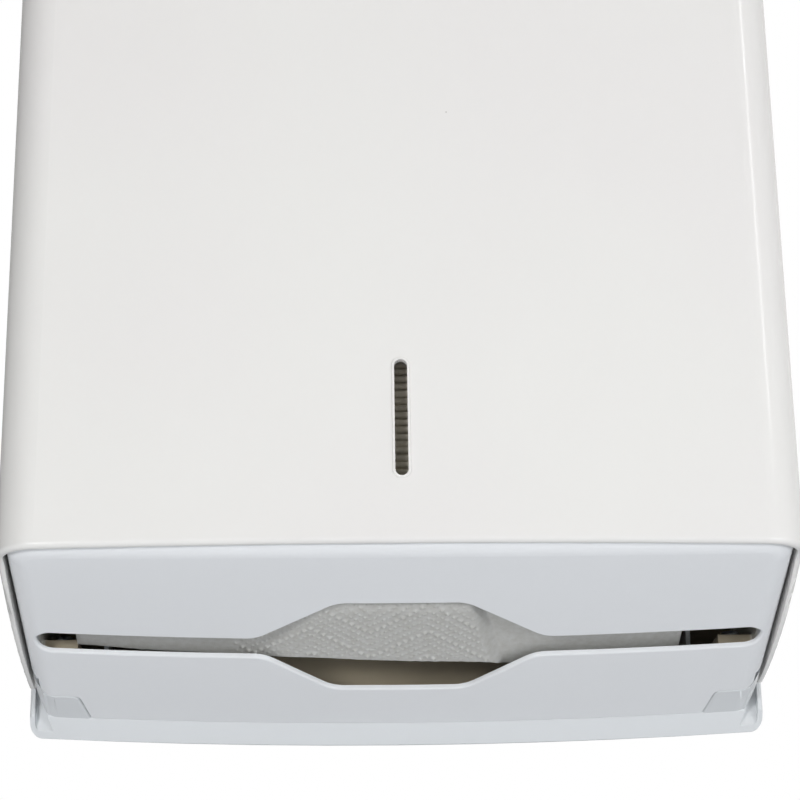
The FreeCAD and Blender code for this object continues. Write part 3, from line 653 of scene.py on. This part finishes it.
# The camera's angles in radians, fitted to the photo's outlines with its place and lens
CAMERA_YAW, CAMERA_PITCH, CAMERA_ROLL = 0.025, 0.334, -0.014
CAMERA_PLACE = (-0.01786, -0.81783, -0.29292)
CAMERA_LENS_MM = 100.15
CAMERA_SENSOR_MM = 36.0


def floor():
    mesh = bmesh.new()
    bmesh.ops.create_grid(mesh, x_segments=1, y_segments=1, size=FLOOR_HALF,
                          matrix=Matrix.Translation((0, 0, FLOOR_Z)))
    data = bpy.data.meshes.new("floor")
    mesh.to_mesh(data)
    mesh.free()
    piece = bpy.data.objects.new("floor", data)
    bpy.context.scene.collection.objects.link(piece)
    made, _, shader, _ = new_material("pale_floor")
    shader.inputs["Base Color"].default_value = linear(FLOOR_COLOUR)
    shader.inputs["Roughness"].default_value = 0.9
    data.materials.append(made)


def area_light(name, power, width, height, place, target, colour):
    light = bpy.data.lights.new(name, "AREA")
    light.shape = "RECTANGLE"
    light.size, light.size_y = width, height
    light.energy = power
    light.color = linear(colour)[:3]
    lamp = bpy.data.objects.new(name, light)
    bpy.context.scene.collection.objects.link(lamp)
    lamp.location = place
    lamp.rotation_euler = (Vector(target) - Vector(place)).to_track_quat("-Z", "Y").to_euler()


def sweep():
    """White all round as the camera sees it, and lit darker and warmer from the left."""
    world = bpy.data.worlds.new("white_sweep")
    bpy.context.scene.world = world
    world.use_nodes = True
    tree = world.node_tree
    tree.nodes.clear()
    seen = add(tree, "Background", values=[("Color", (1, 1, 1, 1)), ("Strength", 1.0)])
    toward = add(tree, "SeparateXYZ",
                 links=[(0, add(tree, "TexCoord").outputs["Generated"])]).outputs
    side = span(tree, toward[0], *SIDEWAYS_SPAN, 0.0, 1.0)
    tint = two_tones(tree, side, ROOM_COLOUR, SWEEP_COLOUR)
    overhead = span(tree, toward[2], *OVERHEAD_SPAN, SWEEP_STRENGTH, OVERHEAD_STRENGTH)
    behind = span(tree, toward[1], *BEHIND_SPAN, 0.0, BEHIND_STRENGTH)
    strength = add(tree, "Math", operation="ADD", links=[(0, overhead), (1, behind)])
    lit = add(tree, "Background", links=[("Color", tint), ("Strength", strength.outputs[0])])
    rays = add(tree, "LightPath")
    mix = add(tree, "MixShader", links=[(0, rays.outputs["Is Camera Ray"]),
              (1, lit.outputs[0]), (2, seen.outputs[0])])
    add(tree, "OutputWorld", links=[("Surface", mix.outputs[0])])


def camera():
    yaw, pitch, roll = CAMERA_YAW, CAMERA_PITCH, CAMERA_ROLL
    ahead = Vector((math.sin(yaw) * math.cos(pitch), math.cos(yaw) * math.cos(pitch),
                    math.sin(pitch)))
    right = Vector((math.cos(yaw), -math.sin(yaw), 0))
    up = right.cross(ahead)
    turned_right = math.cos(roll) * right + math.sin(roll) * up
    turned_up = -math.sin(roll) * right + math.cos(roll) * up
    lens = bpy.data.cameras.new("camera")
    lens.sensor_width = CAMERA_SENSOR_MM
    lens.lens = CAMERA_LENS_MM
    eye = bpy.data.objects.new("camera", lens)
    bpy.context.scene.collection.objects.link(eye)
    turn = Matrix((turned_right, turned_up, -ahead)).transposed()
    eye.matrix_world = Matrix.Translation(CAMERA_PLACE) @ turn.to_4x4()
    bpy.context.scene.camera = eye


floor()
sweep()
for light_name, facts in LIGHTS.items():
    area_light(light_name, *facts)
camera()
bpy.context.scene.view_settings.view_transform = "Standard"
